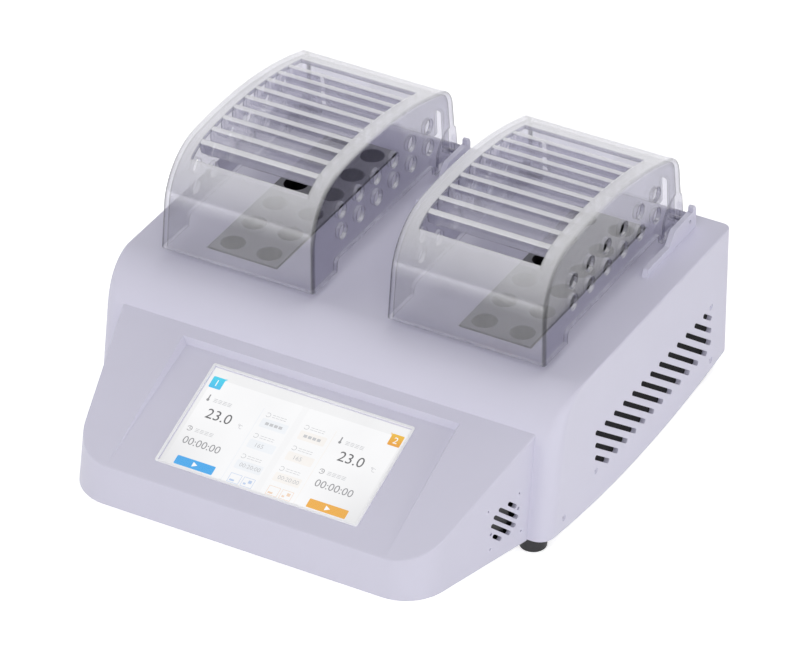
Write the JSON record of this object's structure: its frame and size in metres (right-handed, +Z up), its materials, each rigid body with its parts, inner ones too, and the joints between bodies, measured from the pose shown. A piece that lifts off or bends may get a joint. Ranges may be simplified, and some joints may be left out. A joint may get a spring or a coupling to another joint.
{
  "type": "chemical oxygen demand reactor",
  "caption": "Bench digester: two drilled heating blocks under hinged slatted clear covers, on a housing with a sloping touch-screen console.",
  "frame": {"origin": "bottom centre of the whole part, on the bench between the feet", "axes": "+X to the right as seen by the user, +Y away from the user towards the mains inlet, +Z up"},
  "size_m": [0.338, 0.3556, 0.1872],
  "materials": {
    "casing_paint": "satin",
    "console_plastic": "satin",
    "tray_steel": "satin",
    "rear_panel_paint": "satin",
    "screw_steel": "plain",
    "painted_screws": "satin",
    "black_rubber": "matte",
    "filter_foam": "open foam",
    "trim_plastic": "satin",
    "screen_glass": "clear",
    "screen_picture": "lit panel",
    "sheet_steel": "plain",
    "board_green": "solder mask",
    "block_aluminium": "machined",
    "heater_cast": "cast",
    "insulation_fibre": "fibre board",
    "probe_steel": "plain",
    "cutout_plastic": "moulded",
    "smoky_clear": "polished clear",
    "pin_steel": "polished",
    "fan_plastic": "moulded",
    "inlet_plastic": "moulded",
    "contact_brass": "plain",
    "fuse_glass": "clear",
    "rocker_plastic": "moulded",
    "relay_plastic": "moulded",
    "terminal_plastic": "moulded",
    "standoff_brass": "plain"
  },
  "bodies": {
    "casing": {"base_tray": "tray_steel", "block_pan_a": "sheet_steel", "block_pan_b": "sheet_steel", "block_standoffs": "standoff_brass", "board_posts": "standoff_brass", "board_screws": "screw_steel", "bracket_screws": "screw_steel", "case_screws": "painted_screws", "console_fan_frame": "fan_plastic", "console_fan_screws": "painted_screws", "console_screws": "screw_steel", "console_shell": "console_plastic", "control_board": "board_green", "display_board": "board_green", "display_trim": "trim_plastic", "fan_frame": "fan_plastic", "fan_screws": "screw_steel", "filter_nuts": "screw_steel", "foot_back_left": "black_rubber", "foot_back_right": "black_rubber", "foot_front_left": "black_rubber", "foot_front_right": "black_rubber", "foot_screws": "screw_steel", "heater_plate_a": "heater_cast", "heater_plate_b": "heater_cast", "heating_block_a": "block_aluminium", "heating_block_b": "block_aluminium", "hinge_bracket_a_left": "casing_paint", "hinge_bracket_a_right": "casing_paint", "hinge_bracket_b_left": "casing_paint", "hinge_bracket_b_right": "casing_paint", "hinge_pins": "pin_steel", "inlet_contacts": "contact_brass", "insulation_jacket_a": "insulation_fibre", "insulation_jacket_b": "insulation_fibre", "lcd_module": "sheet_steel", "lcd_panel": "screen_picture", "main_housing": "casing_paint", "mains_inlet": "inlet_plastic", "power_supply": "sheet_steel", "rear_panel": "rear_panel_paint", "relay_a": "relay_plastic", "relay_b": "relay_plastic", "switch_frame": "inlet_plastic", "temperature_probe_a": "probe_steel", "temperature_probe_b": "probe_steel", "terminal_block": "terminal_plastic", "thermal_cutout_a": "cutout_plastic", "thermal_cutout_b": "cutout_plastic", "touch_glass": "screen_glass", "vent_filter_left": "filter_foam", "vent_filter_right": "filter_foam"},
    "cover_a_body": {"cover_a": "smoky_clear"},
    "cover_b_body": {"cover_b": "smoky_clear"},
    "rear_fan_rotor": {"fan_rotor": "fan_plastic"},
    "side_fan_rotor": {"console_fan_rotor": "fan_plastic"},
    "rocker": {"switch_rocker": "rocker_plastic"},
    "drawer": {"fuse_drawer": "inlet_plastic", "fuse": "fuse_glass"}
  },
  "joints": [
    {"name": "cover_a_hinge", "type": "hinge", "parent": "casing", "child": "cover_a_body", "pos_m": [-0.0847, 0.15678, 0.1166], "axis": [-1, 0, 0], "range_deg": [0, 110]},
    {"name": "cover_b_hinge", "type": "hinge", "parent": "casing", "child": "cover_b_body", "pos_m": [0.0847, 0.15678, 0.1166], "axis": [-1, 0, 0], "range_deg": [0, 110]},
    {"name": "rear_fan_spin", "type": "hinge", "parent": "casing", "child": "rear_fan_rotor", "pos_m": [0, 0.15978, 0.05875], "axis": [0, 1, 0], "continuous": true},
    {"name": "side_fan_spin", "type": "hinge", "parent": "casing", "child": "side_fan_rotor", "pos_m": [0.13965, -0.09554, 0.03376], "axis": [0.9626, -0.2632, 0.0639], "continuous": true},
    {"name": "rocker_tilt", "type": "hinge", "parent": "casing", "child": "rocker", "pos_m": [0.144, 0.17078, 0.06], "axis": [1, 0, 0], "range_deg": [-14, 0]},
    {"name": "drawer_slide", "type": "slide", "parent": "casing", "child": "drawer", "axis": [0, 1, 0], "range_m": [0, 0.016]}
  ]
}
